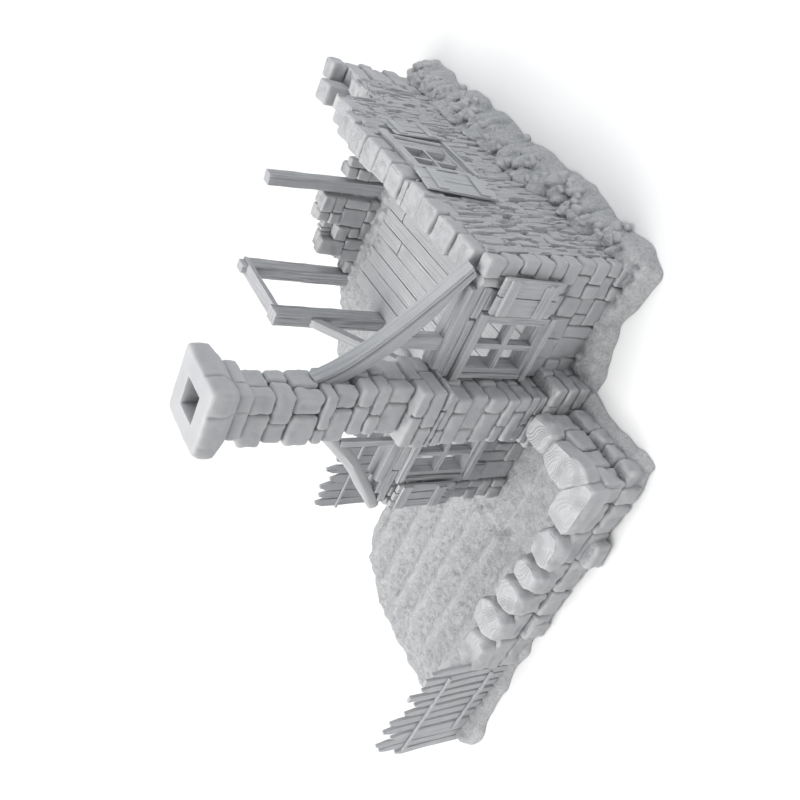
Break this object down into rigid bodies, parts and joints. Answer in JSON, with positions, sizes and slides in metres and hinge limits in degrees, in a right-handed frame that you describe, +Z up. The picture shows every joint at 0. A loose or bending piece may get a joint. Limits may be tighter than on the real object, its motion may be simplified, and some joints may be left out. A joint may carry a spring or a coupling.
{
  "type": "miniature terrain ruin",
  "caption": "Roofless stone cottage ruin for tabletop games, with a chimney gable, shuttered windows, bare door frame, dug garden, drystone wall and picket fences.",
  "frame": {"origin": "centre of the base's footprint, on the table", "axes": "+Z up; +X along the gable wall, away from the garden; +Y from the gable back towards the rear wall"},
  "size_m": [0.182, 0.182, 0.119],
  "materials": {
    "stone": "matte grey resin",
    "wood": "matte grey resin, grained",
    "soil": "matte grey resin, granular"
  },
  "bodies": {
    "root": {"capstone_1": "stone", "capstone_2": "stone", "capstone_3": "stone", "capstone_4": "stone", "capstone_5": "stone", "capstone_6": "stone", "capstone_7": "stone", "capstone_8": "stone", "chimney_breast": "stone", "chimney_cap": "stone", "chimney_plinth": "stone", "chimney_shoulder": "stone", "chimney_stack_lower": "stone", "chimney_stack_upper": "stone", "coping_front": "stone", "coping_rear": "stone", "corner_pier": "stone", "corner_post": "wood", "door_brace": "wood", "door_lintel": "wood", "door_post_front": "wood", "door_post_rear": "wood", "floorboards_1": "wood", "floorboards_2": "wood", "floorboards_3": "wood", "floorboards_4": "wood", "gable_boards_left": "wood", "gable_boards_right": "wood", "gable_plate_left": "wood", "gable_plate_right": "wood", "gable_wall_left": "stone", "gable_wall_right": "stone", "garden_base": "soil", "garden_wall_front": "stone", "garden_wall_side": "stone", "house_base": "soil", "long_wall": "stone", "long_wall_rear": "stone", "picket_fence_front": "wood", "picket_fence_rear": "wood", "pier_block_front": "stone", "pier_block_rear": "stone", "quoin_left": "stone", "quoin_right": "stone", "rafter_left": "wood", "rafter_right": "wood", "rear_post": "wood", "rear_wall_left": "stone", "rear_wall_right": "stone", "rubble_bank": "stone", "shutter_gable_left": "wood", "shutter_gable_right": "wood", "shutter_side_front": "wood", "shutter_side_rear": "wood", "soil_furrows": "soil", "stud_left": "wood", "stud_right": "wood", "window_frame_left": "wood", "window_frame_right": "wood", "window_frame_side": "wood"}
  },
  "joints": []
}
